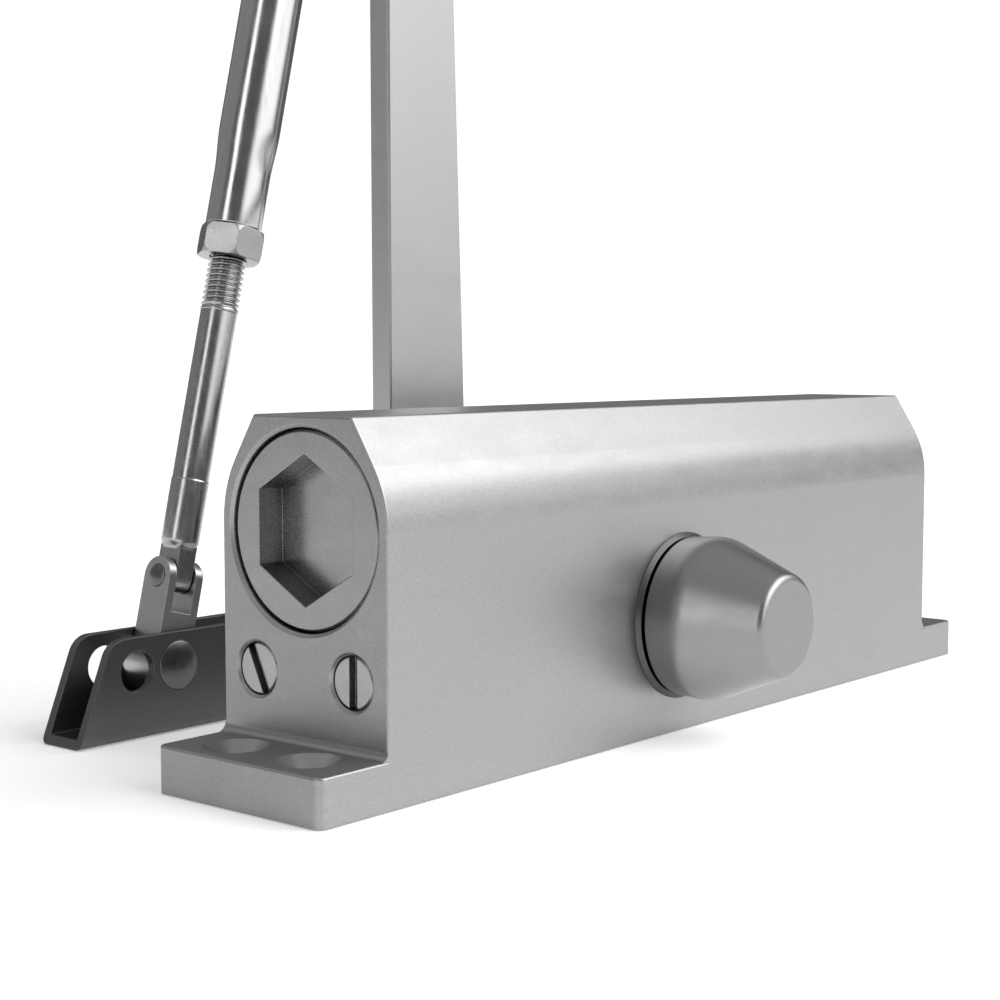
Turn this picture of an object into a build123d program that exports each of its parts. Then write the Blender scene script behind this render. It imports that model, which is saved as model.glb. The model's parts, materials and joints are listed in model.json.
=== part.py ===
from build123d import *
import os
from math import acos, asin, atan2, cos, degrees, hypot, pi, radians, sin, sqrt, tan

# Surface-mounted rack-and-pinion door closer with its folding arm, in millimetres.
# The closer lies on its mounting face, the plane z = 0, which also carries the arm's shoe.
# The origin is the centre of the four fixing holes. X runs along the body, Z away from the
# mounting face and Y along the pinion: the capped end of the spindle is at -Y, the arm at +Y.

# --- Housing ---
BODY_LENGTH = 205.0
BODY_WIDTH = 43.0
BODY_HEIGHT = 70.0
TOP_WIDTH = 25.5
SHOULDER_Z = 56.0           # where the sloping shoulder meets the upright side
SHOULDER_RADIUS = 22.0
FOOT_LENGTH = 17.0
FOOT_THICKNESS = 9.0
FOOT_FILLET = 1.6
EDGE_RADIUS = 0.5
FIXING_X = 221.0            # fixing hole spacing along the body
FIXING_Y = 19.0             # fixing hole spacing across it
FIXING_RADIUS = 3.25
FIXING_SINK_RADIUS = 6.3

# --- Piston bore, plugs and piston ---
BORE_Z = 48.8
BORE_RADIUS = 17.0
PLUG_RADIUS = 19.0
PLUG_BORE_RADIUS = 19.05
PLUG_BORE_DEPTH = 15.5
PLUG_RECESS = 0.8
PLUG_INNER_X = 80.0         # face of each plug inside the bore
PLUG_HEX_FLATS = 24.5
PLUG_HEX_DEPTH = 6.0
SPIGOT_RADIUS = 16.9
O_RING_SECTION = 0.95
PISTON_RADIUS = 16.95
PISTON_START = -76.0
PISTON_END = 14.0
RECESS_START = -61.0        # the piston is cut away between its two heads
RECESS_END = 4.5
RECESS_Z = 40.6

# --- Pinion and rack ---
PINION_X = -10.0
PINION_Z = 25.0
MODULE = 1.5
TEETH = 16
PRESSURE_ANGLE = 25.0
BACKLASH = 0.16
GEAR_HALF_WIDTH = 9.5
RACK_HALF_WIDTH = 9.2
RACK_TEETH_BEFORE = 9       # rack teeth on the plug side of the pinion at rest
RACK_TEETH_AFTER = 2
SPINDLE_RADIUS = 8.5
SPINDLE_END = 44.0
SQUARE_START = 28.0
SQUARE_SIZE = 12.0
COLLAR_RADIUS = 10.0        # rings at each end of the gear
TAPPED_DEPTH = 20.0
SPINDLE_HOLE_RADIUS = 9.2   # in each gland nut
PINION_BORE_RADIUS = 13.6
BEARING_START = 11.5
BEARING_END = 16.5
CUP_RADIUS = 13.5
CUP_INNER_RADIUS = 12.0
NEEDLE_RADIUS = 1.72
NEEDLES = 16
GLAND_START = 16.7
GLAND_FLANGE_RADIUS = 17.9
GLAND_FLANGE_END = 22.6
GLAND_COLLAR_RADIUS = 13.2
GLAND_COLLAR_END = 26.5
SEAL_RADIUS = 11.45
SEAL_START = 17.0
SEAL_END = 20.8

# --- Pinion cap ---
CAP_BASE_Y = -23.5
CAP_BASE_RADIUS = 17.0
CAP_SHOULDER_RADIUS = 17.6
CAP_SHOULDER = 7.4          # shoulder's distance from the cap's base
CAP_LENGTH = 24.5
CAP_FACE_RADIUS = 10.6
CAP_WALL = 2.2

# --- Valves ---
VALVE_Y = 12.4
VALVE_Z = 22.0
VALVE_BORE_RADIUS = 5.1
VALVE_RADIUS = 5.05
VALVE_RECESS = 0.5
VALVE_SLOT_WIDTH = 2.0
VALVE_SLOT_DEPTH = 1.6
VALVE_SLOT_ANGLES = {"closing": -25.0, "latching": 0.0}
VALVE_BORE_END = -91.5      # the wide bore steps down here to the needle's own
NEEDLE_BORE_RADIUS = 2.45
NEEDLE_BORE_END = -75.0
PASSAGE_RADIUS = 1.4
PASSAGE_END = -50.0
PORT_RADIUS = 1.2
PORTS_X = (-78.0, -52.0)
PORT_TOP_Z = 39.0

# --- Springs between the piston and the right plug ---
SPRINGS = {"outer_spring": (12.9, 2.3, 6.0), "inner_spring": (8.3, 1.5, 8.0)}

# --- Main arm ---
ARM_LENGTH = 262.6          # pinion axis to elbow axis
ARM_LEAN = -1.12            # degrees from upright, towards -X
ARM_NEAR_Y = 51.2
ARM_THICKNESS = 6.3
ARM_PINION_RADIUS = 13.9
ARM_ELBOW_RADIUS = 9.4
HUB_START = 29.0
HUB_RADIUS = 13.0
ARM_SCREW_RADIUS = 3.95
ARM_SCREW_HEAD_RADIUS = 7.0
ARM_SCREW_HEAD_HEIGHT = 3.0

# --- Shoe ---
SHOE_Y = 66.9               # middle plane of the shoe, the yoke and the forearm
SHOE_GAP = 9.0
SHOE_WALL = 2.0
SHOE_BASE_LENGTH = 64.4
SHOE_TOP_LENGTH = 47.0
SHOE_HEIGHT = 21.7
SHOE_CENTRE_X = -75.2
SHOE_CORNER = 5.0
SHOE_HOLE_RADIUS = 4.4
SHOE_HOLE_OFFSET = 17.0
SHOE_FIXING_OFFSET = 22.0
SHOE_FIXING_RADIUS = 2.25
PIVOT_X = -81.0
PIVOT_Z = 14.5
PIVOT_PIN_RADIUS = 4.0
PIVOT_HEAD_RADIUS = 5.4
PIVOT_HEAD_HEIGHT = 1.5

# --- Forearm, measured along its own axis from the shoe's pivot ---
RIVET_AT = 18.3
RIVET_RADIUS = 2.0
RIVET_HEAD_RADIUS = 2.6
RIVET_HEAD_HEIGHT = 0.7
EAR_GAP = 5.4
EAR_THICKNESS = 2.0
EAR_WIDTH = 8.4
WEB_START = 7.6
WEB_END = 11.0
KNUCKLE_RADIUS = 6.6
KNUCKLE_WIDTH = 8.6
TONGUE_THICKNESS = 4.8
TONGUE_WIDTH = 6.4
TONGUE_END = 27.0
ROD_RADIUS = 4.15
ROD_FULL_FROM = 28.0
ROD_END = 150.0
NUT_START = 90.0
NUT_FLATS = 13.0
NUT_HEIGHT = 6.8
NUT_CORNER_RADIUS = 7.2     # where the sphere that rounds a nut meets its end faces' level
NUT_CORNER_DROP = 0.6
TUBE_START = 96.9
NECK_RADIUS = 6.2
TUBE_RADIUS = 6.75
CRIMP_START = 111.5
CRIMP_END = 118.5
TUBE_BORE_RADIUS = 5.25
TUBE_CLEARANCE = 12.0       # the tube stops this far short of the elbow axis
EYE_THICKNESS = 5.0
EYE_RADIUS = 9.0
ELBOW_PIN_RADIUS = 4.0
ELBOW_HEAD_RADIUS = 8.0
ELBOW_HEAD_HEIGHT = 3.2
ELBOW_NUT_HEIGHT = 6.5
ELBOW_PLAY = 0.3            # gap between the eye and the nut that closes the pin
SPACER_RADIUS = 7.5
BUSH_RADIUS = 5.5
FIT = 0.05                  # radial clearance of running fits

# --- Worked-out places ---
HALF_BODY = BODY_LENGTH / 2
HALF_WIDTH = BODY_WIDTH / 2
PITCH_RADIUS = MODULE * TEETH / 2
RACK_PITCH = pi * MODULE
PITCH_LINE_Z = PINION_Z + PITCH_RADIUS
ARM_FAR_Y = ARM_NEAR_Y + ARM_THICKNESS
ELBOW_X = PINION_X + ARM_LENGTH * sin(radians(ARM_LEAN))
ELBOW_Z = PINION_Z + ARM_LENGTH * cos(radians(ARM_LEAN))
FOREARM_LENGTH = hypot(ELBOW_X - PIVOT_X, ELBOW_Z - PIVOT_Z)
FOREARM_LEAN = degrees(atan2(ELBOW_X - PIVOT_X, ELBOW_Z - PIVOT_Z))
ON_PINION = Pos(PINION_X, 0, PINION_Z)
ON_FOREARM = Pos(PIVOT_X, SHOE_Y, PIVOT_Z) * Rot(0, FOREARM_LEAN, 0)


def bar_x(radius, start, end, y=0.0, z=0.0):
    """Round bar along X."""
    return Pos((start + end) / 2, y, z) * Rot(0, 90, 0) * Cylinder(radius, end - start)


def bar_y(radius, start, end, x=0.0, z=0.0):
    """Round bar along Y."""
    return Pos(x, (start + end) / 2, z) * Rot(90, 0, 0) * Cylinder(radius, end - start)


def bar_z(radius, start, end, x=0.0, y=0.0):
    """Round bar along Z."""
    return Pos(x, y, (start + end) / 2) * Cylinder(radius, end - start)


def block(x_range, y_range, z_range):
    """Box between two corners, given as ranges."""
    spans = [high - low for low, high in (x_range, y_range, z_range)]
    middles = [(low + high) / 2 for low, high in (x_range, y_range, z_range)]
    return Pos(*middles) * Box(*spans)


def turned(points, axis):
    """Solid of revolution from an outline in the XY plane."""
    return revolve(make_face(Polyline(*points, close=True)), axis)


def o_ring(radius, section):
    """Ring about X."""
    return Rot(0, 90, 0) * Torus(radius, section)


def dome(end, side, head_radius, head_height):
    """Edges of a rivet's domed end, from its rim to the axis, in the XY plane about Y."""
    sphere = (head_radius**2 + head_height**2) / (2 * head_height)
    half_angle = asin(head_radius / sphere) / 2
    rise = head_height - sphere * (1 - cos(half_angle))
    middle = (sphere * sin(half_angle), end + side * rise)
    return ThreePointArc((head_radius, end), middle, (0, end + side * head_height))


def rivet(radius, half_length, head_radius, head_height):
    """Rivet about Y with a low dome at each end."""
    top = half_length + head_height
    outline = [
        dome(half_length, 1, head_radius, head_height),
        Line((head_radius, half_length), (radius, half_length)),
        Line((radius, half_length), (radius, -half_length)),
        Line((radius, -half_length), (head_radius, -half_length)),
        dome(-half_length, -1, head_radius, head_height),
        Line((0, -top), (0, top)),
    ]
    return revolve(make_face(outline), Axis.Y)


def body_outline():
    """Cross-section of the housing in the YZ plane, with a rounded break in each shoulder."""
    half_top = TOP_WIDTH / 2
    half = HALF_WIDTH
    side = FilletPolyline(
        (-half, 0), (-half, SHOULDER_Z), (-half_top, BODY_HEIGHT),
        (half_top, BODY_HEIGHT), (half, SHOULDER_Z), (half, 0),
        radius=[SHOULDER_RADIUS, 0.6, 0.6, SHOULDER_RADIUS],
    )
    return make_face([side, Line((half, 0), (-half, 0))])


def foot(side):
    """One fixing foot with its two countersunk holes."""
    start = side * (HALF_BODY - FOOT_FILLET * 2)
    end = side * (HALF_BODY + FOOT_LENGTH)
    plate = block(sorted((start, end)), (-HALF_WIDTH, HALF_WIDTH), (0, FOOT_THICKNESS))
    outer = plate.edges().filter_by(Axis.Z).sort_by(Axis.X)
    corners = outer[-2:] if side > 0 else outer[:2]
    plate = fillet(corners, 2.0)
    return fillet(plate.edges().group_by(Axis.Z)[-1], EDGE_RADIUS)


def fixing_holes():
    """Four countersunk holes through the feet."""
    holes = []
    for x in (-FIXING_X / 2, FIXING_X / 2):
        for y in (-FIXING_Y / 2, FIXING_Y / 2):
            holes.append(bar_z(FIXING_RADIUS, -1, FOOT_THICKNESS + 1, x, y))
            depth = FIXING_SINK_RADIUS - FIXING_RADIUS
            sink = Cone(FIXING_RADIUS, FIXING_SINK_RADIUS, depth)
            holes.append(Pos(x, y, FOOT_THICKNESS - depth / 2) * sink)
    return holes


def foot_fillets():
    """Coves between the end faces and the tops of the feet."""
    coves = []
    for side in (-1, 1):
        cove = block((-1, FOOT_FILLET), (-HALF_WIDTH, HALF_WIDTH), (0, FOOT_FILLET))
        cove -= bar_y(FOOT_FILLET, -HALF_WIDTH - 1, HALF_WIDTH + 1, FOOT_FILLET, FOOT_FILLET)
        turn = Rot(0, 0, 180) if side < 0 else Rot(0, 0, 0)
        coves.append(Pos(side * HALF_BODY, 0, FOOT_THICKNESS) * turn * cove)
    return coves


def valve_bores():
    """Stepped bores for the two valve screws, and the oil ports up to the piston bore."""
    bores = []
    for y in (-VALVE_Y, VALVE_Y):
        bores.append(bar_x(VALVE_BORE_RADIUS, -HALF_BODY - 1, VALVE_BORE_END, y, VALVE_Z))
        mouth = Cone(VALVE_BORE_RADIUS - 0.1, VALVE_BORE_RADIUS + 0.6, 0.7)
        bores.append(Pos(-HALF_BODY + 0.3, y, VALVE_Z) * Rot(0, -90, 0) * mouth)
        needle = (VALVE_BORE_END - 0.5, NEEDLE_BORE_END)
        bores.append(bar_x(NEEDLE_BORE_RADIUS, *needle, y, VALVE_Z))
        bores.append(bar_x(PASSAGE_RADIUS, NEEDLE_BORE_END - 0.5, PASSAGE_END, y, VALVE_Z))
        for x in PORTS_X:
            bores.append(bar_z(PORT_RADIUS, VALVE_Z, PORT_TOP_Z, x, y))
    return bores


def housing():
    profile = Plane.YZ * body_outline()
    body = Pos(-HALF_BODY, 0, 0) * extrude(profile, BODY_LENGTH)
    ends = body.edges().group_by(Axis.X)
    body = fillet(ends[0] + ends[-1], EDGE_RADIUS)
    body += [foot(-1), foot(1)]
    body += foot_fillets()
    body -= bar_x(BORE_RADIUS, -HALF_BODY - 1, HALF_BODY + 1, 0, BORE_Z)
    for side in (-1, 1):
        mouth = sorted((side * (HALF_BODY + 1), side * (HALF_BODY - PLUG_BORE_DEPTH)))
        body -= bar_x(PLUG_BORE_RADIUS, *mouth, 0, BORE_Z)
        chamfer_cone = Cone(PLUG_BORE_RADIUS, PLUG_BORE_RADIUS + 0.6, 0.6)
        body -= Pos(side * (HALF_BODY - 0.3), 0, BORE_Z) * Rot(0, side * 90, 0) * chamfer_cone
    body -= bar_y(PINION_BORE_RADIUS, -HALF_WIDTH - 1, HALF_WIDTH + 1, PINION_X, PINION_Z)
    body -= valve_bores()
    body -= fixing_holes()
    return body


def end_plug():
    """Left plug: hexagon recess outside, spigot with a ring groove inside."""
    outer = -HALF_BODY + PLUG_RECESS
    step = -HALF_BODY + PLUG_BORE_DEPTH
    groove = (-PLUG_INNER_X - 4.6, -PLUG_INNER_X - 2.2)
    plug = turned(
        [
            (outer, 0), (outer, PLUG_RADIUS - 0.8), (outer + 0.8, PLUG_RADIUS),
            (step - 0.2, PLUG_RADIUS), (step - 0.2, SPIGOT_RADIUS),
            (groove[0], SPIGOT_RADIUS), (groove[0], 15.0), (groove[1], 15.0),
            (groove[1], SPIGOT_RADIUS), (-PLUG_INNER_X - 0.8, SPIGOT_RADIUS),
            (-PLUG_INNER_X, SPIGOT_RADIUS - 0.8), (-PLUG_INNER_X, 0),
        ],
        Axis.X,
    )
    corner_radius = PLUG_HEX_FLATS / 2 / cos(radians(30))
    hexagon = Plane.YZ * Rot(0, 0, 30) * RegularPolygon(corner_radius, 6)
    recess = Pos(outer - 1, 0, 0) * extrude(hexagon, PLUG_HEX_DEPTH + 1)
    return Pos(0, 0, BORE_Z) * (plug - recess)


def plug_o_ring():
    return Pos(-PLUG_INNER_X - 3.4, 0, BORE_Z) * o_ring(15.97, O_RING_SECTION)


def involute_point(base, radius):
    """Polar angle of an involute at a radius, counted from where it leaves the base circle."""
    roll = sqrt(max(radius * radius / base / base - 1, 0))
    return roll - acos(base / radius)


def gear_face():
    """Involute pinion outline about the origin, with one tooth pointing along +Y of the sketch."""
    base = PITCH_RADIUS * cos(radians(PRESSURE_ANGLE))
    tip = PITCH_RADIUS + MODULE
    root = PITCH_RADIUS - 1.25 * MODULE
    half_tooth = pi / 2 / TEETH - BACKLASH / 4 / PITCH_RADIUS
    start = half_tooth + involute_point(base, PITCH_RADIUS)
    steps = 6
    flank = []
    for i in range(steps + 1):
        radius = base + (tip - base) * i / steps
        flank.append((start - involute_point(base, radius), radius))
    rising = [(start, root)] + flank
    points = []
    for tooth in range(TEETH):
        centre = pi / 2 - tooth * 2 * pi / TEETH
        for angle, radius in rising:
            points.append((radius * cos(centre + angle), radius * sin(centre + angle)))
        for angle, radius in reversed(rising):
            points.append((radius * cos(centre - angle), radius * sin(centre - angle)))
    return make_face(Polyline(*points, close=True))


def square_end(start, end):
    size = SQUARE_SIZE
    return block((-size / 2, size / 2), (start, end), (-size / 2, size / 2))


def pinion():
    """Spindle and gear in one forging, with a square at each end and a tapped hole in it."""
    gear = extrude(Plane.XZ * gear_face(), GEAR_HALF_WIDTH, both=True)
    shaft = bar_y(SPINDLE_RADIUS, -SQUARE_START, SQUARE_START)
    spindle = gear + shaft
    for side in (-1, 1):
        collar = sorted((side * GEAR_HALF_WIDTH, side * (BEARING_START - 0.3)))
        square = sorted((side * SQUARE_START, side * SPINDLE_END))
        hole = sorted((side * (SPINDLE_END - TAPPED_DEPTH), side * (SPINDLE_END + 1)))
        spindle += bar_y(COLLAR_RADIUS, *collar)
        spindle += square_end(*square)
        spindle -= bar_y(ARM_SCREW_RADIUS + FIT, *hole)
    return ON_PINION * spindle


def piston():
    """Piston with two heads and a rack cut along its underside."""
    body = bar_x(PISTON_RADIUS, PISTON_START, PISTON_END, 0, BORE_Z)
    wide = (-PISTON_RADIUS - 1, PISTON_RADIUS + 1)
    body -= block((RECESS_START, RECESS_END), wide, (BORE_Z - PISTON_RADIUS - 1, RECESS_Z))
    root_z = PITCH_LINE_Z + 1.25 * MODULE
    tip_z = PITCH_LINE_Z - MODULE
    across = (-RACK_HALF_WIDTH, RACK_HALF_WIDTH)
    rack_start = PINION_X - (RACK_TEETH_BEFORE + 0.4) * RACK_PITCH
    rack_end = PINION_X + (RACK_TEETH_AFTER + 0.4) * RACK_PITCH
    body += block((rack_start, rack_end), across, (root_z, RECESS_Z + 0.5))
    slope = tan(radians(PRESSURE_ANGLE))
    half = RACK_PITCH / 4 - BACKLASH / 4
    half_tip = half - MODULE * slope
    half_root = half + 1.25 * MODULE * slope
    tooth = Polyline(
        (-half_root, root_z), (-half_tip, tip_z), (half_tip, tip_z), (half_root, root_z),
        (half_root, root_z + 0.3), (-half_root, root_z + 0.3), close=True,
    )
    prism = extrude(Plane.XZ * make_face(tooth), RACK_HALF_WIDTH, both=True)
    for index in range(-RACK_TEETH_BEFORE, RACK_TEETH_AFTER):
        body += Pos(PINION_X + (index + 0.5) * RACK_PITCH, 0, 0) * prism
    body -= bar_x(3.0, PISTON_START - 1, -66.0, 0, BORE_Z)
    body -= bar_x(1.3, -67.0, RECESS_START + 1, 0, BORE_Z)
    body -= block((RECESS_START, RECESS_START + 2), (-1.3, 1.3), (RECESS_Z - 1, BORE_Z + 1.3))
    return body


def check_valve():
    """Ball and drilled plug in the piston's head."""
    ball = Pos(-68.6, 0, BORE_Z) * Sphere(2.5)
    plug = bar_x(2.97, PISTON_START, -72.0, 0, BORE_Z)
    plug -= bar_x(1.2, PISTON_START - 1, -71.0, 0, BORE_Z)
    return {"check_ball": ball, "check_valve_plug": plug}


def coil_spring(radius, wire, turns):
    """Compression spring between the piston and the right plug."""
    length = PLUG_INNER_X - PISTON_END - 2 * wire - 0.2
    path = Helix(pitch=length / turns, height=length, radius=radius)
    section = (path ^ 0) * Circle(wire)
    coil = sweep(section, path=path, is_frenet=True)
    return Pos(PISTON_END + wire + 0.1, 0, BORE_Z) * Rot(0, 90, 0) * coil


def bearing_cup():
    cup = bar_y(CUP_RADIUS, BEARING_START, BEARING_END)
    cup -= bar_y(CUP_INNER_RADIUS, BEARING_START - 1, BEARING_END + 1)
    return ON_PINION * cup


def needles():
    """The rollers of one needle bearing, as separate solids."""
    middle = (SPINDLE_RADIUS + CUP_INNER_RADIUS) / 2
    rollers = []
    for index in range(NEEDLES):
        angle = 2 * pi * index / NEEDLES
        x, z = middle * cos(angle), middle * sin(angle)
        rollers.append(ON_PINION * bar_y(NEEDLE_RADIUS, BEARING_START + 0.3, BEARING_END - 0.3, x, z))
    return Compound(children=rollers)


def shaft_seal():
    seal = bar_y(SEAL_RADIUS, SEAL_START, SEAL_END)
    seal -= bar_y(SPINDLE_RADIUS + FIT, SEAL_START - 1, SEAL_END + 1)
    seal -= bar_y(10.6, SEAL_START - 1, SEAL_START + 2.2) - bar_y(9.4, SEAL_START - 1, SEAL_START + 2.2)
    return ON_PINION * seal


def gland_nut():
    """Threaded ring that holds the bearing and the seal, with a collar that the cap fits on."""
    nut = turned(
        [
            (SPINDLE_HOLE_RADIUS, SEAL_END + 0.1), (SEAL_RADIUS + FIT, SEAL_END + 0.1),
            (SEAL_RADIUS + FIT, GLAND_START),
            (CUP_RADIUS, GLAND_START), (CUP_RADIUS, HALF_WIDTH + 0.05),
            (GLAND_FLANGE_RADIUS, HALF_WIDTH + 0.05),
            (GLAND_FLANGE_RADIUS, GLAND_FLANGE_END - 0.9),
            (GLAND_FLANGE_RADIUS - 0.9, GLAND_FLANGE_END),
            (GLAND_COLLAR_RADIUS, GLAND_FLANGE_END), (GLAND_COLLAR_RADIUS, GLAND_COLLAR_END),
            (SPINDLE_HOLE_RADIUS, GLAND_COLLAR_END),
        ],
        Axis.Y,
    )
    return ON_PINION * nut


def pinion_cap():
    """Rounded conical cover over the free end of the spindle."""
    outline = FilletPolyline(
        (CAP_BASE_RADIUS, 0), (CAP_SHOULDER_RADIUS, CAP_SHOULDER),
        (CAP_FACE_RADIUS, CAP_LENGTH), (0, CAP_LENGTH), radius=[9.0, 1.8],
    )
    sides = [Line((0, CAP_LENGTH), (0, 0)), Line((0, 0), (CAP_BASE_RADIUS, 0))]
    shell = revolve(make_face([outline, *sides]), Axis.Y)
    inner = GLAND_COLLAR_RADIUS + FIT
    shell -= turned(
        [
            (0, -1), (inner, -1), (inner, CAP_SHOULDER + 1.5),
            (CAP_FACE_RADIUS - CAP_WALL + 0.6, CAP_LENGTH - CAP_WALL),
            (0, CAP_LENGTH - CAP_WALL),
        ],
        Axis.Y,
    )
    return ON_PINION * Pos(0, CAP_BASE_Y, 0) * Rot(180, 0, 0) * shell


def valve_screw(side, slot_angle):
    """Slotted needle screw that throttles the oil."""
    head = -HALF_BODY + VALVE_RECESS
    screw = turned(
        [
            (head, 0), (head, VALVE_RADIUS - 0.4), (head + 0.4, VALVE_RADIUS),
            (-97.6, VALVE_RADIUS), (-97.6, 3.8), (-95.6, 3.8), (-95.6, VALVE_RADIUS),
            (-92.0, VALVE_RADIUS), (-92.0, 2.4), (-82.0, 2.4), (-74.5, 1.0), (-74.5, 0),
        ],
        Axis.X,
    )
    slot = Box(VALVE_SLOT_DEPTH * 2, VALVE_SLOT_WIDTH, VALVE_RADIUS * 3)
    screw -= Pos(head, 0, 0) * Rot(slot_angle, 0, 0) * slot
    return Pos(0, side * VALVE_Y, VALVE_Z) * screw


def valve_o_ring(side):
    return Pos(-96.6, side * VALVE_Y, VALVE_Z) * o_ring(4.43, 0.6)


def tapered_bar(near_y, far_y, start_radius, end_radius, length):
    """Flat bar with round ends, from the origin up to z = length, tapering between them."""
    lean = (start_radius - end_radius) / length
    upright = sqrt(1 - lean * lean)
    low = (start_radius * upright, start_radius * lean)
    high = (end_radius * upright, length + end_radius * lean)
    outline = make_face(
        [
            Line(low, high),
            ThreePointArc(high, (0, length + end_radius), (-high[0], high[1])),
            Line((-high[0], high[1]), (-low[0], low[1])),
            ThreePointArc((-low[0], low[1]), (0, -start_radius), low),
        ]
    )
    bar = extrude(Plane.XZ * outline, -(far_y - near_y))
    return Pos(0, near_y, 0) * bar


def main_arm():
    bar = tapered_bar(ARM_NEAR_Y, ARM_FAR_Y, ARM_PINION_RADIUS, ARM_ELBOW_RADIUS, ARM_LENGTH)
    bar = chamfer(bar.edges().filter_by(GeomType.LINE).filter_by(Axis.Y, reverse=True), 0.5)
    bar -= bar_y(ARM_SCREW_RADIUS + 0.15, ARM_NEAR_Y - 1, ARM_FAR_Y + 1)
    bar -= bar_y(ELBOW_PIN_RADIUS + FIT, ARM_NEAR_Y - 1, ARM_FAR_Y + 1, 0, ARM_LENGTH)
    return ON_PINION * Rot(0, ARM_LEAN, 0) * bar


def arm_hub():
    """Round boss behind the arm with a square socket for the spindle."""
    hub = bar_y(HUB_RADIUS, HUB_START, ARM_NEAR_Y)
    near_rim = hub.edges().group_by(Axis.Y)[0]
    hub = chamfer(near_rim, 1.0)
    size = SQUARE_SIZE + 2 * FIT
    socket = block((-size / 2, size / 2), (HUB_START - 1, ARM_NEAR_Y + 1), (-size / 2, size / 2))
    return ON_PINION * (hub - socket)


def arm_screw():
    """Button-head screw through the arm into the spindle, with a hexagon socket."""
    head = ARM_SCREW_HEAD_HEIGHT
    radius = ARM_SCREW_HEAD_RADIUS
    outline = [
        Line((0, -24), (ARM_SCREW_RADIUS, -24)),
        Line((ARM_SCREW_RADIUS, -24), (ARM_SCREW_RADIUS, 0)),
        Line((ARM_SCREW_RADIUS, 0), (radius, 0)),
        Line((radius, 0), (radius, 0.6)),
        ThreePointArc((radius, 0.6), (radius * 0.78, head * 0.72), (radius * 0.5, head)),
        Line((radius * 0.5, head), (0, head)),
        Line((0, head), (0, -24)),
    ]
    screw = revolve(make_face(outline), Axis.Y)
    socket = extrude(Plane.XZ * RegularPolygon(5 / 2 / cos(radians(30)), 6), 2.0, both=True)
    screw -= Pos(0, head, 0) * socket
    return ON_PINION * Pos(0, ARM_FAR_Y, 0) * screw


def hex_nut(height, hole_radius):
    """Nut standing on z = 0, with its corners rounded off by a sphere."""
    nut = extrude(RegularPolygon(NUT_FLATS / 2 / cos(radians(30)), 6), height)
    lens = Sphere(hypot(NUT_CORNER_RADIUS, height / 2 - NUT_CORNER_DROP))
    nut &= Pos(0, 0, height / 2) * lens
    return nut - bar_z(hole_radius, -1, height + 1)


def at_elbow(shape):
    return Pos(ELBOW_X, 0, ELBOW_Z) * Rot(0, FOREARM_LEAN, 0) * shape


def elbow_parts():
    """Pin with a domed head, the spacer and bush on it, and the nut that closes it."""
    eye_near = SHOE_Y - EYE_THICKNESS / 2
    eye_far = SHOE_Y + EYE_THICKNESS / 2
    nut_start = eye_far + ELBOW_PLAY
    pin_end = nut_start + ELBOW_NUT_HEIGHT + 0.5
    pin = revolve(
        make_face(
            [
                dome(ARM_NEAR_Y, -1, ELBOW_HEAD_RADIUS, ELBOW_HEAD_HEIGHT),
                Line((ELBOW_HEAD_RADIUS, ARM_NEAR_Y), (ELBOW_PIN_RADIUS, ARM_NEAR_Y)),
                Line((ELBOW_PIN_RADIUS, ARM_NEAR_Y), (ELBOW_PIN_RADIUS, pin_end)),
                Line((ELBOW_PIN_RADIUS, pin_end), (0, pin_end)),
                Line((0, pin_end), (0, ARM_NEAR_Y - ELBOW_HEAD_HEIGHT)),
            ]
        ),
        Axis.Y,
    )
    spacer = bar_y(SPACER_RADIUS, ARM_FAR_Y, eye_near - 0.2)
    spacer -= bar_y(ELBOW_PIN_RADIUS + FIT, ARM_FAR_Y - 1, eye_near + 1)
    bush = bar_y(BUSH_RADIUS, eye_near - 0.1, eye_far + 0.1)
    bush -= bar_y(ELBOW_PIN_RADIUS + FIT, eye_near - 1, eye_far + 1)
    nut = Pos(0, nut_start, 0) * Rot(-90, 0, 0) * hex_nut(ELBOW_NUT_HEIGHT, ELBOW_PIN_RADIUS)
    solids = {"elbow_pin": pin, "elbow_spacer": spacer, "elbow_bush": bush, "elbow_nut": nut}
    return {name: at_elbow(solid) for name, solid in solids.items()}


def forearm_tube():
    """Tube with a crimped neck that is tapped for the rod."""
    end = FOREARM_LENGTH - TUBE_CLEARANCE
    tube = turned(
        [
            (ROD_RADIUS + FIT, TUBE_START), (NECK_RADIUS, TUBE_START),
            (NECK_RADIUS, CRIMP_START), (TUBE_RADIUS, CRIMP_END), (TUBE_RADIUS, end),
            (TUBE_BORE_RADIUS, end), (TUBE_BORE_RADIUS, CRIMP_END),
            (ROD_RADIUS + FIT, CRIMP_END - 3.0),
        ],
        Axis.Y,
    )
    return ON_FOREARM * Rot(90, 0, 0) * tube


def forearm_eye():
    """Flat eye plugged into the top of the tube."""
    tail_half = 4.5
    end = FOREARM_LENGTH - TUBE_CLEARANCE
    half = EYE_THICKNESS / 2
    plate = bar_y(EYE_RADIUS, -half, half, 0, FOREARM_LENGTH)
    plate += block((-6.7, 6.7), (-half, half), (end + 0.1, FOREARM_LENGTH))
    plate += block((-tail_half, tail_half), (-half, half), (end - 18, end + 1))
    plate -= bar_y(BUSH_RADIUS + 0.01, -half - 1, half + 1, 0, FOREARM_LENGTH)
    return ON_FOREARM * plate


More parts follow.
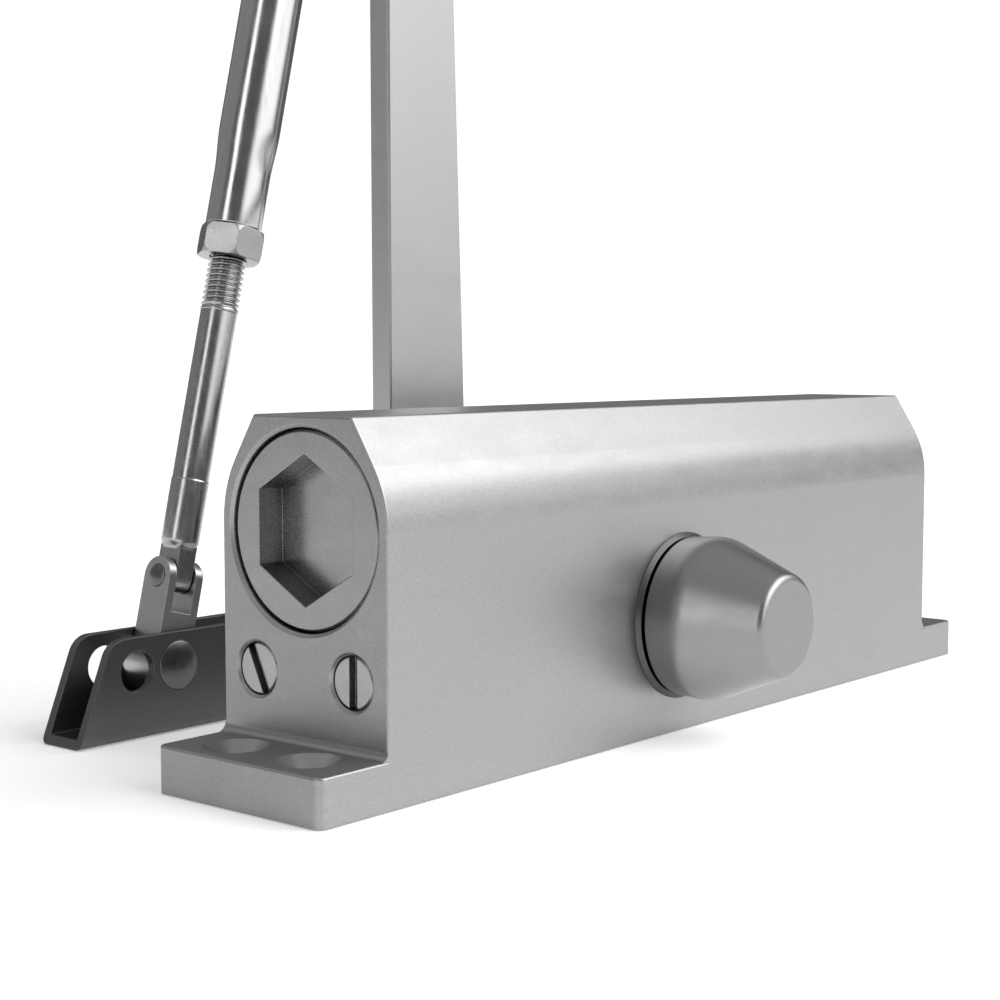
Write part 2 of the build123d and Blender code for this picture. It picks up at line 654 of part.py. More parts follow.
def forearm_rod():
    """Round rod that ends in a flat tongue with a rivet hole."""
    rod = bar_z(ROD_RADIUS, ROD_FULL_FROM, ROD_END)
    half_thick = TONGUE_THICKNESS / 2
    half_wide = TONGUE_WIDTH / 2
    tongue = block((-half_thick, half_thick), (-half_wide, half_wide), (RIVET_AT, TONGUE_END))
    tongue += bar_x(half_wide, -half_thick, half_thick, 0, RIVET_AT)
    flat_end = Pos(0, 0, TONGUE_END) * Rectangle(TONGUE_THICKNESS, TONGUE_WIDTH)
    flat_end = fillet(flat_end.vertices(), 1.0)
    blend = loft([flat_end, Pos(0, 0, ROD_FULL_FROM) * Circle(ROD_RADIUS)])
    rod += [tongue, blend]
    rod -= bar_x(RIVET_RADIUS + FIT, -5, 5, 0, RIVET_AT)
    return ON_FOREARM * rod


def lock_nut():
    return ON_FOREARM * Pos(0, 0, NUT_START) * hex_nut(NUT_HEIGHT, ROD_RADIUS + FIT)


def yoke():
    """Fork that holds the rod's tongue, with the knuckle that turns on the shoe's pin."""
    inner = EAR_GAP / 2
    outer = inner + EAR_THICKNESS
    half = EAR_WIDTH / 2
    fork = block((-outer, outer), (-half, half), (WEB_START - 3, RIVET_AT))
    fork += bar_x(half, -outer, outer, 0, RIVET_AT)
    fork += bar_y(KNUCKLE_RADIUS, -KNUCKLE_WIDTH / 2, KNUCKLE_WIDTH / 2)
    fork -= block((-inner, inner), (-half - 1, half + 1), (WEB_END, RIVET_AT + half + 1))
    fork -= bar_y(PIVOT_PIN_RADIUS + FIT, -KNUCKLE_WIDTH, KNUCKLE_WIDTH)
    fork -= bar_x(RIVET_RADIUS + 0.01, -outer - 1, outer + 1, 0, RIVET_AT)
    return ON_FOREARM * fork


def clevis_rivet():
    """Rivet with a low dome on each ear."""
    outer = EAR_GAP / 2 + EAR_THICKNESS
    across = rivet(RIVET_RADIUS, outer, RIVET_HEAD_RADIUS, RIVET_HEAD_HEIGHT)
    return ON_FOREARM * Pos(0, 0, RIVET_AT) * Rot(0, 0, 90) * across


def shoe():
    """Steel channel with sloping ends: base on the frame, pivot holes in its walls."""
    half_base = SHOE_BASE_LENGTH / 2
    half_top = SHOE_TOP_LENGTH / 2
    outline = FilletPolyline(
        (-half_base, 0), (-half_top, SHOE_HEIGHT), (half_top, SHOE_HEIGHT), (half_base, 0),
        radius=SHOE_CORNER,
    )
    face = make_face([outline, Line((half_base, 0), (-half_base, 0))])
    half = SHOE_GAP / 2 + SHOE_WALL
    channel = extrude(Plane.XZ * face, half, both=True)
    bends = channel.edges().filter_by(Axis.X).group_by(Axis.Z)[0]
    channel = fillet(bends, 1.6)
    gap = (-SHOE_GAP / 2, SHOE_GAP / 2)
    channel -= block((-half_base, half_base), gap, (SHOE_WALL, SHOE_HEIGHT + 1))
    for offset in (-SHOE_HOLE_OFFSET, SHOE_HOLE_OFFSET):
        channel -= bar_y(SHOE_HOLE_RADIUS, -half - 1, half + 1, offset, PIVOT_Z)
    channel -= bar_y(PIVOT_PIN_RADIUS + 0.02, -half - 1, half + 1, PIVOT_X - SHOE_CENTRE_X, PIVOT_Z)
    for offset in (-SHOE_FIXING_OFFSET, SHOE_FIXING_OFFSET):
        channel -= bar_z(SHOE_FIXING_RADIUS, -1, SHOE_WALL + 1, offset, 0)
    return Pos(SHOE_CENTRE_X, SHOE_Y, 0) * channel


def shoe_pin():
    """Rivet through the shoe's walls, domed outside each wall."""
    half = SHOE_GAP / 2 + SHOE_WALL
    pin = rivet(PIVOT_PIN_RADIUS, half, PIVOT_HEAD_RADIUS, PIVOT_HEAD_HEIGHT)
    return Pos(PIVOT_X, SHOE_Y, PIVOT_Z) * pin


def model():
    """Every sub-part by node name."""
    parts = {"housing": housing()}
    plug, ring = end_plug(), plug_o_ring()
    parts["left_end_plug"] = plug
    parts["left_plug_o_ring"] = ring
    parts["right_end_plug"] = mirror(plug, about=Plane.YZ)
    parts["right_plug_o_ring"] = mirror(ring, about=Plane.YZ)
    parts["piston"] = piston()
    parts.update(check_valve())
    for name, (radius, wire, turns) in SPRINGS.items():
        parts[name] = coil_spring(radius, wire, turns)
    parts["pinion"] = pinion()
    pairs = {
        "bearing_cup": bearing_cup(),
        "needles": needles(),
        "shaft_seal": shaft_seal(),
        "gland_nut": gland_nut(),
    }
    for name, solid in pairs.items():
        parts["rear_" + name] = solid
        parts["front_" + name] = mirror(solid, about=Plane.XZ)
    parts["pinion_cap"] = pinion_cap()
    for side, kind in ((1, "closing"), (-1, "latching")):
        parts[kind + "_valve_screw"] = valve_screw(side, VALVE_SLOT_ANGLES[kind])
        parts[kind + "_valve_o_ring"] = valve_o_ring(side)
    parts["arm_hub"] = arm_hub()
    parts["main_arm"] = main_arm()
    parts["arm_screw"] = arm_screw()
    parts.update(elbow_parts())
    parts["forearm_tube"] = forearm_tube()
    parts["forearm_eye"] = forearm_eye()
    parts["lock_nut"] = lock_nut()
    parts["forearm_rod"] = forearm_rod()
    parts["clevis_rivet"] = clevis_rivet()
    parts["yoke"] = yoke()
    parts["shoe"] = shoe()
    parts["shoe_pin"] = shoe_pin()
    return parts


os.makedirs("parts", exist_ok=True)
for node, solid in model().items():
    export_step(solid, f"parts/{node}.step")
print("elbow", round(ELBOW_X, 4), round(ELBOW_Z, 4))
print("forearm length and lean", round(FOREARM_LENGTH, 3), round(FOREARM_LEAN, 4))
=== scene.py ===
import json
import math

import bmesh
import bpy
from mathutils import Matrix, Vector


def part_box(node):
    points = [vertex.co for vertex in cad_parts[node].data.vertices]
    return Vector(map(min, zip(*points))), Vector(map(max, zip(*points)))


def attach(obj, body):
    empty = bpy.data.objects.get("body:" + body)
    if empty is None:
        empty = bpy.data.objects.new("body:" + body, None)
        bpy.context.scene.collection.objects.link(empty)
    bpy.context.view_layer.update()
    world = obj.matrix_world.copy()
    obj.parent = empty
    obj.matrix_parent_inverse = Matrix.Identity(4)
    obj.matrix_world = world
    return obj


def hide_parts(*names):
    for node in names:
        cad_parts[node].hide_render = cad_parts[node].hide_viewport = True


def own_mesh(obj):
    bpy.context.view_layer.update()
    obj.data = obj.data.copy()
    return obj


# Door closer on a pale floor. Lengths are in metres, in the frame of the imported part:
# X along the body, Y along the spindle towards the arm, Z up from the mounting face.

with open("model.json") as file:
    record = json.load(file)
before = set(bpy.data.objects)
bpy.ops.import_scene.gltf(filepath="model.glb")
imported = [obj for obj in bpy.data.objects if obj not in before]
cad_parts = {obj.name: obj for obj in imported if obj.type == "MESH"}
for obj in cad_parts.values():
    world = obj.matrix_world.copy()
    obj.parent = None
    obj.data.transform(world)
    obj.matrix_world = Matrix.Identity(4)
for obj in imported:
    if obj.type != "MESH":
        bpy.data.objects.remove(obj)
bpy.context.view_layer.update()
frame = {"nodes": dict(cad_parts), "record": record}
nodes = frame["nodes"]

# --- Camera ---
VIEW_AZIMUTH = -50.2          # degrees; 0 looks along +Y
VIEW_PITCH = 4.7              # degrees downwards
CAMERA_PLACE = (-0.3331, -0.2394, 0.0817)
LENS = 65.29                  # millimetres, as is the sensor's width
SENSOR = 36.0
CLIP = (0.01, 20.0)

# --- Studio: each soft panel is a patch of sky between two heights ---
BACKDROP = 1.05               # what the camera sees behind the object
FLOOR_GLOW = 0.34             # the floor is a light table, a little lit from below
FLOOR_DROP = 0.0002           # keeps the floor clear of the mounting face
FLOOR_HALF = 4.0
SKY_BASE = 0.14
PANELS = {
    # name: (azimuth from +X towards +Y, half width, softness, lowest, highest, strength); degrees
    "front_key": (-58.0, 36.0, 28.0, 22.0, 58.0, 4.2),
    "front_low": (-70.0, 34.0, 24.0, 4.0, 22.0, 1.9),
    "left_strip": (189.0, 7.0, 6.0, -4.0, 42.0, 2.5),
    "left_fill": (120.0, 40.0, 20.0, 0.0, 60.0, 0.2),
}
TOP_LIGHT = 0.5
TOP_SPAN = (0.45, 0.95)       # the sky brightens between these sines of height
LOW_BLUR = 4.0                # degrees that a panel fades over, each way, at its lower edge
HIGH_BLUR = 12.0              # and at its upper edge
LEAST_FLAT = 0.001            # stops a division by nothing straight overhead


def make_camera():
    data = bpy.data.cameras.new("camera")
    data.lens = LENS
    data.sensor_width = SENSOR
    data.clip_start, data.clip_end = CLIP
    camera = bpy.data.objects.new("camera", data)
    bpy.context.scene.collection.objects.link(camera)
    turn = math.radians(VIEW_AZIMUTH)
    tilt = math.radians(VIEW_PITCH)
    back = Vector((math.sin(turn) * math.cos(tilt), -math.cos(turn) * math.cos(tilt), math.sin(tilt)))
    camera.rotation_mode = "QUATERNION"
    camera.rotation_quaternion = (-back).to_track_quat("-Z", "Y")
    camera.location = CAMERA_PLACE
    bpy.context.scene.camera = camera


class Tree:
    """Short names for building a node tree."""

    def __init__(self, tree):
        self.tree = tree

    def add(self, kind):
        return self.tree.nodes.new(kind)

    def link(self, output, socket):
        self.tree.links.new(output, socket)

    def put(self, socket, value):
        if isinstance(value, (int, float, tuple)):
            socket.default_value = value
        else:
            self.link(value, socket)

    def math(self, operation, *values, clamp=False):
        node = self.add("ShaderNodeMath")
        node.operation = operation
        node.use_clamp = clamp
        for index, value in enumerate(values):
            self.put(node.inputs[index], value)
        return node.outputs[0]

    def span(self, value, low, high, to_low=0.0, to_high=1.0, smooth=False):
        node = self.add("ShaderNodeMapRange")
        if smooth:
            node.interpolation_type = "SMOOTHSTEP"
        keys = ("From Min", "From Max", "To Min", "To Max")
        for key, number in zip(keys, (low, high, to_low, to_high)):
            node.inputs[key].default_value = number
        self.put(node.inputs["Value"], value)
        return node.outputs["Result"]

    def mix(self, factor, a, b, blend="MIX"):
        node = self.add("ShaderNodeMix")
        node.data_type = "RGBA"
        node.blend_type = blend
        for key, value in (("Factor_Float", factor), ("A_Color", a), ("B_Color", b)):
            socket = next(s for s in node.inputs if s.identifier == key)
            self.put(socket, value)
        return next(s for s in node.outputs if s.identifier == "Result_Color")


def sine(degrees):
    return math.sin(math.radians(degrees))


def cosine(degrees):
    return math.cos(math.radians(degrees))


def make_world():
    """Dim room with soft panels for the light; the camera itself sees a plain white backdrop."""
    world = bpy.data.worlds.new("studio")
    bpy.context.scene.world = world
    world.use_nodes = True
    t = Tree(world.node_tree)
    t.tree.nodes.clear()
    split = t.add("ShaderNodeSeparateXYZ")
    t.link(t.add("ShaderNodeTexCoord").outputs["Generated"], split.inputs[0])
    x, y, z = split.outputs
    flat = t.math("SQRT", t.math("ADD", t.math("MULTIPLY", x, x), t.math("MULTIPLY", y, y)))
    flat = t.math("MAXIMUM", flat, LEAST_FLAT)
    total = t.span(z, *TOP_SPAN, SKY_BASE, TOP_LIGHT, smooth=True)
    for azimuth, half, soft, low, high, strength in PANELS.values():
        along_x = t.math("MULTIPLY", x, cosine(azimuth))
        along_y = t.math("MULTIPLY", y, sine(azimuth))
        turn = t.math("DIVIDE", t.math("ADD", along_x, along_y), flat)
        across = t.span(turn, cosine(half + soft / 2), cosine(half - soft / 2), smooth=True)
        rise = t.span(z, sine(low - LOW_BLUR), sine(low + LOW_BLUR), smooth=True)
        fall = t.span(z, sine(high + HIGH_BLUR), sine(high - HIGH_BLUR), smooth=True)
        patch = t.math("MULTIPLY", across, t.math("MULTIPLY", rise, fall))
        total = t.math("ADD", total, t.math("MULTIPLY", patch, strength))
    light = t.add("ShaderNodeBackground")
    t.link(total, light.inputs["Strength"])
    backdrop = t.add("ShaderNodeBackground")
    backdrop.inputs["Strength"].default_value = BACKDROP
    for shader in (light, backdrop):
        shader.inputs["Color"].default_value = (1, 1, 1, 1)
    seen = t.add("ShaderNodeMixShader")
    t.link(t.add("ShaderNodeLightPath").outputs["Is Camera Ray"], seen.inputs["Fac"])
    t.link(light.outputs[0], seen.inputs[1])
    t.link(backdrop.outputs[0], seen.inputs[2])
    t.link(seen.outputs[0], t.add("ShaderNodeOutputWorld").inputs["Surface"])


def make_floor():
    mesh = bpy.data.meshes.new("floor")
    builder = bmesh.new()
    bmesh.ops.create_grid(builder, x_segments=2, y_segments=2, size=FLOOR_HALF)
    builder.to_mesh(mesh)
    builder.free()
    floor = bpy.data.objects.new("floor", mesh)
    floor.location = (0, 0, -FLOOR_DROP)
    bpy.context.scene.collection.objects.link(floor)
    material = bpy.data.materials.new("floor_paper")
    material.use_nodes = True
    shader = material.node_tree.nodes["Principled BSDF"]
    shader.inputs["Base Color"].default_value = (0.93, 0.93, 0.93, 1)
    shader.inputs["Roughness"].default_value = 0.8
    shader.inputs["Specular IOR Level"].default_value = 0.2
    shader.inputs["Emission Color"].default_value = (1, 1, 1, 1)
    shader.inputs["Emission Strength"].default_value = FLOOR_GLOW
    floor.data.materials.append(material)


# --- Materials. Noise scales are per metre, and a noise value lies mostly between 0.3 and 0.7 ---
EDGE_ROUNDING = 0.0003
EDGE_SPAN = (0.88, 0.60)      # wear starts and is full at these dot products of the two normals
PAINTED_SHADE_SPAN = (0.62, 0.15)    # painted shade starts and is full at these shares of open sky
RELIEF = 0.00002
SHADE_SAMPLES = 8


class Finish(Tree):
    """Node tree of one material, with textures placed in the object's own frame."""

    def __init__(self, name):
        self.material = bpy.data.materials.new(name)
        self.material.use_nodes = True
        super().__init__(self.material.node_tree)
        self.shader = self.tree.nodes["Principled BSDF"]
        self.place = self.add("ShaderNodeTexCoord").outputs["Object"]

    def noise(self, scale, detail=2.0, stretch=(1, 1, 1), roughness=0.5):
        mapping = self.add("ShaderNodeMapping")
        mapping.inputs["Scale"].default_value = stretch
        self.link(self.place, mapping.inputs["Vector"])
        texture = self.add("ShaderNodeTexNoise")
        texture.inputs["Scale"].default_value = scale
        texture.inputs["Detail"].default_value = detail
        texture.inputs["Roughness"].default_value = roughness
        self.link(mapping.outputs[0], texture.inputs["Vector"])
        return texture.outputs["Fac"]

    def rounded(self, radius):
        """Normal that rounds the sharp edges off by about the radius."""
        bevel = self.add("ShaderNodeBevel")
        bevel.samples = SHADE_SAMPLES
        bevel.inputs["Radius"].default_value = radius
        return bevel.outputs[0]

    def edge(self, normal):
        """1 along edges, where the rounded normal leaves the surface's own, and 0 elsewhere."""
        dot = self.add("ShaderNodeVectorMath")
        dot.operation = "DOT_PRODUCT"
        self.link(normal, dot.inputs[0])
        self.link(self.add("ShaderNodeNewGeometry").outputs["Normal"], dot.inputs[1])
        return self.span(dot.outputs["Value"], *EDGE_SPAN, smooth=True)

    def shade_in_hollows(self, distance):
        """1 deep in slots, corners and gaps between parts, where shade falls, and 0 on open faces; it masks
        painted shade.
        """
        shade = self.add("ShaderNodeAmbientOcclusion")
        shade.samples = SHADE_SAMPLES
        shade.inputs["Distance"].default_value = distance
        return self.span(shade.outputs["AO"], *PAINTED_SHADE_SPAN, smooth=True)

    def end_faces(self):
        """1 on faces square to the body's length, and 0 elsewhere."""
        split = self.add("ShaderNodeSeparateXYZ")
        self.link(self.add("ShaderNodeTexCoord").outputs["Normal"], split.inputs[0])
        return self.span(self.math("ABSOLUTE", split.outputs["X"]), 0.8, 0.98, smooth=True)

    def lathe_marks(self, axis, centre, scale):
        """Fine rings round an axis, X or Y, through a point."""
        shifted = self.add("ShaderNodeVectorMath")
        shifted.operation = "SUBTRACT"
        self.link(self.place, shifted.inputs[0])
        shifted.inputs[1].default_value = centre
        split = self.add("ShaderNodeSeparateXYZ")
        self.link(shifted.outputs[0], split.inputs[0])
        along = split.outputs[axis]
        across = [split.outputs[name] for name in "XYZ" if name != axis]
        square = self.math("ADD", *(self.math("MULTIPLY", side, side) for side in across))
        path = self.math("ADD", self.math("SQRT", square), along)
        texture = self.add("ShaderNodeTexNoise")
        texture.noise_dimensions = "1D"
        texture.inputs["Scale"].default_value = scale
        texture.inputs["Detail"].default_value = 3.0
        self.link(path, texture.inputs["W"])
        return texture.outputs["Fac"]

    def bump(self, height, distance, strength, normal=None):
        node = self.add("ShaderNodeBump")
        node.inputs["Distance"].default_value = distance
        node.inputs["Strength"].default_value = strength
        self.link(height, node.inputs["Height"])
        if normal is not None:
            self.link(normal, node.inputs["Normal"])
        return node.outputs[0]


def grey(value, warm=0.0):
    return (value * (1 + warm), value, value * (1 - warm), 1.0)


def coated_metal(name, tone, roughness, metallic=1.0, flake=0.1, wear=0.4, shade_strength=0.7,
                 grain_scale=2600.0, stretch=(1, 1, 1), painted_end_shade=1.0, lathe=None, reach=0.004):
    """Metal or metallic enamel: fine flakes, faint clouds, uneven gloss, painted shade in corners and gaps,
    worn edges.

    Tone is the grey, flake its spread, the end factor a painted shade that darkens faces square to X,
    lathe the arguments of lathe_marks, and reach how near, in metres, another face must come for a corner
    to get painted shade."""
    n = Finish(name)
    flakes = n.noise(grain_scale, 3.0, stretch, 0.65)
    clouds = n.noise(22.0, 4.0)
    smudges = n.noise(90.0, 5.0, (1, 1, 2.5), 0.6)
    base = n.mix(n.span(flakes, 0.32, 0.68), grey(tone * (1 - flake)), grey(tone * (1 + flake)))
    base = n.mix(n.span(clouds, 0.35, 0.65, 0.0, 0.12), base, grey(tone * 0.8, 0.01))
    # Painted shade: faces square to X are darkened, as the lighting leaves the body's ends darker.
    if painted_end_shade != 1.0:
        base = n.mix(n.end_faces(), base, grey(painted_end_shade), "MULTIPLY")
    smooth = n.rounded(EDGE_ROUNDING)
    broken = n.span(n.noise(420.0, 4.0), 0.40, 0.62)
    chips = n.math("MULTIPLY", n.edge(smooth), broken, clamp=True)
    base = n.mix(n.math("MULTIPLY", chips, wear, clamp=True), base, grey(min(tone * 1.5, 0.95)))
    # Painted shade: corners, slots and gaps between parts are darkened, a little unevenly, where nearby
    # faces hide the sky.
    uneven_shade = n.span(n.noise(300.0, 3.0), 0.2, 0.6, shade_strength * 0.7, shade_strength)
    painted_shade = n.math("MULTIPLY", n.shade_in_hollows(reach), uneven_shade, clamp=True)
    base = n.mix(painted_shade, base, grey(0.012))
    n.link(base, n.shader.inputs["Base Color"])
    rough = n.math("ADD", n.span(smudges, 0.3, 0.7, roughness - 0.04, roughness + 0.05),
                   n.span(flakes, 0.3, 0.7, -0.04, 0.04))
    n.link(rough, n.shader.inputs["Roughness"])
    n.shader.inputs["Metallic"].default_value = metallic
    normal = n.bump(flakes, RELIEF, 0.14, smooth)
    if lathe:
        normal = n.bump(n.lathe_marks(*lathe), RELIEF, 0.25, normal)
    n.link(normal, n.shader.inputs["Normal"])
    return n.material


def rubber(name):
    n = Finish(name)
    speckle = n.noise(900.0, 3.0)
    n.link(n.mix(n.span(speckle, 0.3, 0.7), grey(0.018), grey(0.035)), n.shader.inputs["Base Color"])
    n.link(n.span(n.noise(160.0, 3.0), 0.3, 0.7, 0.55, 0.8), n.shader.inputs["Roughness"])
    n.link(n.bump(speckle, 0.00003, 0.5), n.shader.inputs["Normal"])
    return n.material


def bronze(name):
    n = Finish(name)
    pores = n.noise(1500.0, 4.0)
    n.link(n.mix(n.span(pores, 0.3, 0.7), (0.30, 0.19, 0.09, 1), (0.55, 0.38, 0.20, 1)),
           n.shader.inputs["Base Color"])
    n.link(n.span(n.noise(300.0), 0.3, 0.7, 0.35, 0.5), n.shader.inputs["Roughness"])
    n.shader.inputs["Metallic"].default_value = 1.0
    n.link(n.bump(pores, 0.00003, 0.4), n.shader.inputs["Normal"])
    return n.material


def middle(node):
    low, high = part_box(node)
    return Vector([(low[axis] + high[axis]) / 2 for axis in range(3)])


LATHE_SCALE = 1500.0
CAP_LATHE = ("Y", tuple(middle("pinion_cap")), LATHE_SCALE)
PLUG_LATHE = ("X", tuple(middle("left_end_plug")), LATHE_SCALE)

MATERIALS = {
    # coated_metal takes name, tone, roughness, metallic, flake, wear, the strength of the painted corner
    # shade, grain_scale, stretch
    "body_enamel": coated_metal("body_enamel", 0.365, 0.36, 0.85, 0.12, 0.5, painted_end_shade=0.84),
    "plug_steel": coated_metal("plug_steel", 0.29, 0.27, 1.0, 0.08, 0.6, 1.0, lathe=PLUG_LATHE,
                               reach=0.010),
    "cap_silver": coated_metal("cap_silver", 0.30, 0.33, 0.95, 0.06, 0.3, 0.5, lathe=CAP_LATHE),
    "valve_zinc": coated_metal("valve_zinc", 0.37, 0.30, 1.0, 0.10, 0.4, 0.95),
    "seal_rubber": rubber("seal_rubber"),
    "spring_steel": coated_metal("spring_steel", 0.30, 0.35),
    "piston_iron": coated_metal("piston_iron", 0.28, 0.45, flake=0.14),
    "bearing_steel": coated_metal("bearing_steel", 0.55, 0.25, flake=0.06),
    "arm_enamel": coated_metal("arm_enamel", 0.45, 0.34, 0.85, 0.08, 0.4),
    "fastener_zinc": coated_metal("fastener_zinc", 0.34, 0.28, 1.0, 0.05, 0.4),
    "bush_bronze": bronze("bush_bronze"),
    "tube_zinc": coated_metal("tube_zinc", 0.50, 0.18, 1.0, 0.04, 0.2, 0.6, 1400.0, (1, 1, 0.05)),
    "rod_steel": coated_metal("rod_steel", 0.40, 0.24, 1.0, 0.06, 0.2, 0.9, 1400.0, (1, 1, 0.08)),
    "yoke_steel": coated_metal("yoke_steel", 0.46, 0.32, 1.0, 0.10, 0.4),
    # near-black finish on the gland nuts: painted shade for the gap round the cap's base
    "gland_painted_shade": coated_metal("gland_painted_shade", 0.10, 0.36, 1.0, 0.10, 0.3, 1.0),
    "rivet_steel": coated_metal("rivet_steel", 0.15, 0.30, 1.0, 0.08, 0.3),
    "shoe_steel": coated_metal("shoe_steel", 0.14, 0.34, 0.9, 0.10, 0.6, 0.3),
}


def dress_nodes():
    """Gives every CAD node its material. The gland nuts share the body's slot but get a near-black finish:
    painted shade for the gap between the body and the cap.
    """
    for part in frame["record"]["subparts"]:
        piece = nodes[part["node"]]
        # The gland nuts are painted dark as shade for the gap between body and cap.
        finish = "gland_painted_shade" if "gland_nut" in part["node"] else part["material_slot"]
        piece.data.materials.clear()
        piece.data.materials.append(MATERIALS[finish])


# --- Threaded rod of the forearm, along its own axis from the shoe's pivot, in millimetres ---
MM = 0.001
ROD_RADIUS = 4.15
SHANK_RADIUS = 4.02
PLAIN_RINGS = (34.0, 39.85, 40.05, 50.0, 60.0, 70.0, 77.9)  # from the neck to the thread
COLLAR_TOP = 40.0             # the rod is full size again from here down to the tongue
THREAD_START = 78.0
ROD_END = 150.0
THREAD_PITCH = 1.25
THREAD_DEPTH = 0.72
GROOVE_PEAK = 1.25            # above 1, so the groove's floor is flat
GROOVE_SLOPE = 3.0
FADE_TURNS = 1.5              # the thread runs out over this many turns
TONGUE_HALF = (2.4, 3.2)      # half thickness and half width
TONGUE_TOP = 25.6
NECK_START = 24.8
NECK_TOP = 26.6
RIVET_AT = 18.3
RIVET_HOLE = 2.05
ROUND_STEPS = 40
TONGUE_STEPS = 40
NECK_RINGS = 8
RINGS_PER_TURN = 8
SQUARENESS = 7                # power of the rounded-square section where the neck meets the tongue
TINY = 1e-6
SHARP_ANGLE = 32.0


def ease(share):
    """0 to 1, flat at both ends."""
    return share * share * (3 - 2 * share)


def rod_radius(along, angle):
    """The rod's radius at a height and an angle round its axis."""
    if along < NECK_TOP:
        half_thick, half_wide = TONGUE_HALF
        flat = (abs(math.cos(angle)) / half_thick) ** SQUARENESS
        flat += (abs(math.sin(angle)) / half_wide) ** SQUARENESS
        rise = ease(max(0.0, (along - NECK_START) / (NECK_TOP - NECK_START)))
        return flat ** (-1 / SQUARENESS) * (1 - rise) + ROD_RADIUS * rise
    if along < COLLAR_TOP:
        return ROD_RADIUS
    if along < THREAD_START:
        return SHANK_RADIUS
    turn = (along / THREAD_PITCH - angle / (2 * math.pi)) % 1.0
    groove = min(1.0, max(0.0, GROOVE_PEAK - abs(turn - 0.5) * GROOVE_SLOPE))
    fade = min(1.0, (along - THREAD_START) / THREAD_PITCH / FADE_TURNS)
    return ROD_RADIUS - THREAD_DEPTH * groove * fade


def rod_heights():
    """Heights of the rod's rings: close together at the neck, the collar's edge and the thread."""
    neck = NECK_TOP - NECK_START
    heights = [NECK_START + neck * step / NECK_RINGS for step in range(NECK_RINGS + 1)]
    heights += PLAIN_RINGS
    steps = round((ROD_END - THREAD_START) / THREAD_PITCH * RINGS_PER_TURN)
    heights += [THREAD_START + (ROD_END - THREAD_START) * step / steps for step in range(steps + 1)]
    return heights


def add_rod_body(builder):
    rings = []
    for along in rod_heights():
        ring = []
        for step in range(ROUND_STEPS):
            angle = 2 * math.pi * step / ROUND_STEPS
            radius = rod_radius(along, angle)
            ring.append(builder.verts.new((radius * math.cos(angle), radius * math.sin(angle), along)))
        rings.append(ring)
    for low, high in zip(rings, rings[1:]):
        for step in range(ROUND_STEPS):
            after = (step + 1) % ROUND_STEPS
            builder.faces.new((low[step], low[after], high[after], high[step]))
    builder.faces.new(reversed(rings[0]))
    builder.faces.new(rings[-1])


def add_tongue(builder):
    """Flat end with a round nose and the rivet's hole."""
    half_thick, half_wide = TONGUE_HALF
    reach = TONGUE_TOP - RIVET_AT
    corner = math.atan2(reach, half_wide)
    even = {2 * math.pi * step / TONGUE_STEPS for step in range(TONGUE_STEPS)}
    angles = sorted(even | {corner, math.pi - corner})
    rows = []
    for x in (-half_thick, half_thick):
        for hole in (False, True):
            row = []
            for angle in angles:
                wide, tall = math.cos(angle), math.sin(angle)
                radius = half_wide
                if hole:
                    radius = RIVET_HOLE
                elif tall > TINY:
                    radius = min(half_wide / max(abs(wide), TINY), reach / tall)
                row.append(builder.verts.new((x, radius * wide, RIVET_AT + radius * tall)))
            rows.append(row)
    outer_a, inner_a, outer_b, inner_b = rows
    for one, two in ((outer_a, outer_b), (outer_b, inner_b), (inner_b, inner_a), (inner_a, outer_a)):
        for step in range(len(angles)):
            after = (step + 1) % len(angles)
            builder.faces.new((one[step], one[after], two[after], two[step]))


def place_on_forearm(mesh):
    """Moves a mesh drawn along Z, in millimetres, onto the line from the shoe's pivot to the elbow."""
    pivot, elbow = middle("shoe_pin"), middle("elbow_bush")
    lean = math.atan2(elbow.x - pivot.x, elbow.z - pivot.z)
    turn = Matrix.Rotation(lean, 4, "Y")
    mesh.transform(Matrix.Translation(pivot) @ turn @ Matrix.Scale(MM, 4))


def forearm_piece(name, builder, body, finish, stands_for):
    """Turns mesh code into a piece on the forearm's line that stands for a CAD node."""
    bmesh.ops.recalc_face_normals(builder, faces=builder.faces)
    for face in builder.faces:
        face.smooth = True
    mesh = bpy.data.meshes.new(name)
    builder.to_mesh(mesh)
    builder.free()
    mesh.set_sharp_from_angle(angle=math.radians(SHARP_ANGLE))
    place_on_forearm(mesh)
    mesh.materials.append(MATERIALS[finish])
    piece = bpy.data.objects.new(name, mesh)
    bpy.context.scene.collection.objects.link(piece)
    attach(piece, body)
    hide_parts(stands_for)


def make_rod():
    builder = bmesh.new()
    add_rod_body(builder)
    add_tongue(builder)
    forearm_piece("threaded_rod", builder, "rod", "rod_steel", "forearm_rod")


# --- Tube of the forearm: smoothly swaged neck, rolled ends ---
TUBE_START = 96.9
NECK_RADIUS = 6.2
TUBE_RADIUS = 6.75
SWAGE = (109.0, 120.0)        # the neck widens between these heights
BORE_SWAGE = (115.5, 118.5)
NECK_BORE = 4.2
TUBE_BORE = 5.25
TUBE_CLEARANCE = 12.0         # the tube stops this far short of the elbow axis
LIP = 0.5                     # radius of the rolled ends
LIP_STEPS = 4
SWAGE_STEPS = 16
PLAIN = 3.0                   # an extra ring this far beyond the swage keeps the shading straight
TUBE_STEPS = 72


def swaged(along, span, low, high):
    """A radius that eases from low to high across a span of heights."""
    rise = min(1.0, max(0.0, (along - span[0]) / (span[1] - span[0])))
    return low + (high - low) * ease(rise)


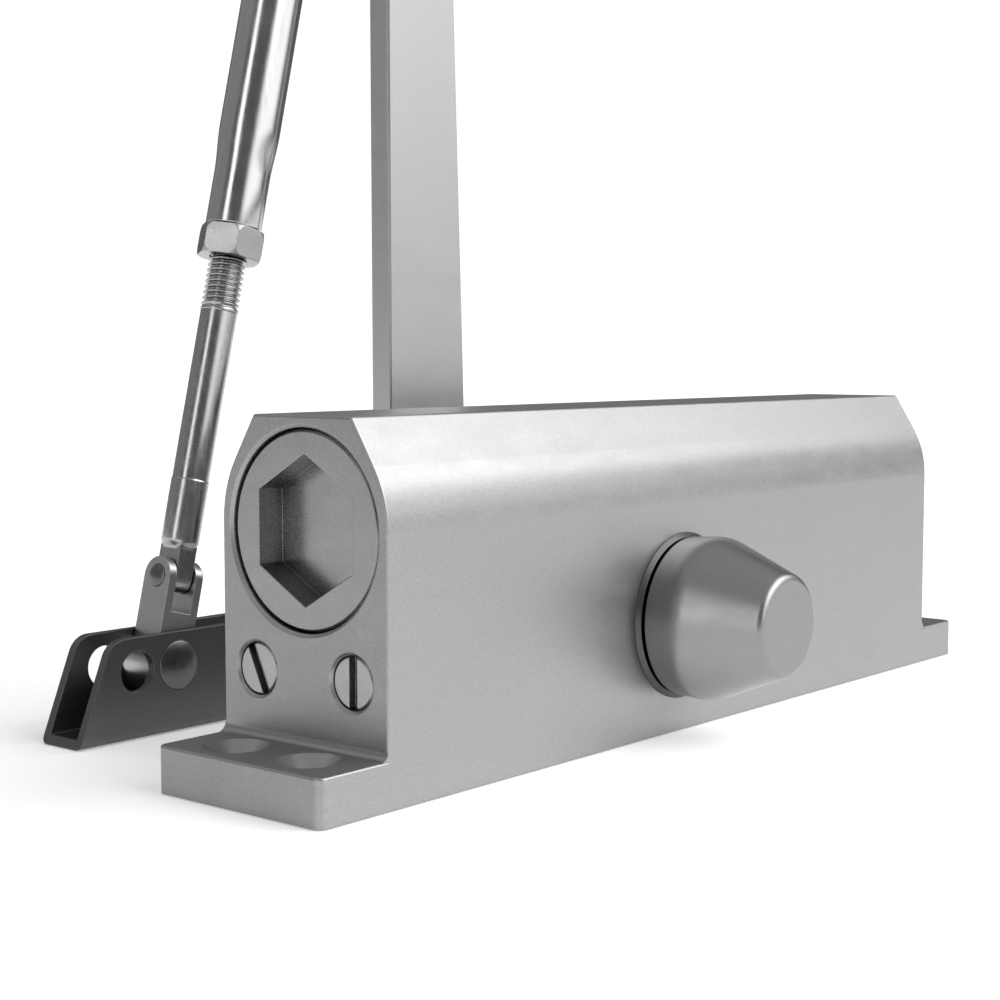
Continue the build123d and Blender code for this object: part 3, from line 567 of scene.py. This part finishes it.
def tube_outline():
    """Closed outline, as (radius, height), up the outside and down the bore."""
    end = (middle("elbow_bush") - middle("shoe_pin")).length / MM - TUBE_CLEARANCE
    turns = [math.pi / 2 * step / LIP_STEPS for step in range(LIP_STEPS + 1)]
    outside = []
    for turn in turns:
        drop, rise = LIP * (1 - math.sin(turn)), LIP * (1 - math.cos(turn))
        outside.append((NECK_RADIUS - drop, TUBE_START + rise))
    outside.append((NECK_RADIUS, SWAGE[0] - PLAIN))
    for step in range(SWAGE_STEPS + 1):
        along = SWAGE[0] + (SWAGE[1] - SWAGE[0]) * step / SWAGE_STEPS
        outside.append((swaged(along, SWAGE, NECK_RADIUS, TUBE_RADIUS), along))
    outside.append((TUBE_RADIUS, SWAGE[1] + PLAIN))
    for turn in turns:
        drop, rise = LIP * (1 - math.cos(turn)), LIP * (1 - math.sin(turn))
        outside.append((TUBE_RADIUS - drop, end - rise))
    widening = [(TUBE_BORE, BORE_SWAGE[1]), (NECK_BORE, BORE_SWAGE[0])]
    return outside + [(TUBE_BORE, end)] + widening + [(NECK_BORE, TUBE_START)]


def make_tube():
    builder = bmesh.new()
    columns = []
    outline = tube_outline()
    for step in range(TUBE_STEPS):
        turn = 2 * math.pi * step / TUBE_STEPS
        columns.append([builder.verts.new((r * math.cos(turn), r * math.sin(turn), z)) for r, z in outline])
    for step, column in enumerate(columns):
        after = columns[(step + 1) % TUBE_STEPS]
        for low in range(len(outline)):
            high = (low + 1) % len(outline)
            builder.faces.new((column[low], after[low], after[high], column[high]))
    forearm_piece("swaged_tube", builder, "forearm", "tube_zinc", "forearm_tube")


def make_springs():
    """Copies of the two CAD springs that shorten with the piston."""
    for node in ("outer_spring", "inner_spring"):
        piece = bpy.data.objects.new(node + "_coil", nodes[node].data.copy())
        bpy.context.scene.collection.objects.link(piece)
        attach(piece, "housing")
        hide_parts(node)
        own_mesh(piece)


bpy.context.scene.view_settings.view_transform = "Standard"
make_camera()
make_floor()
make_world()
dress_nodes()
make_rod()
make_tube()
make_springs()
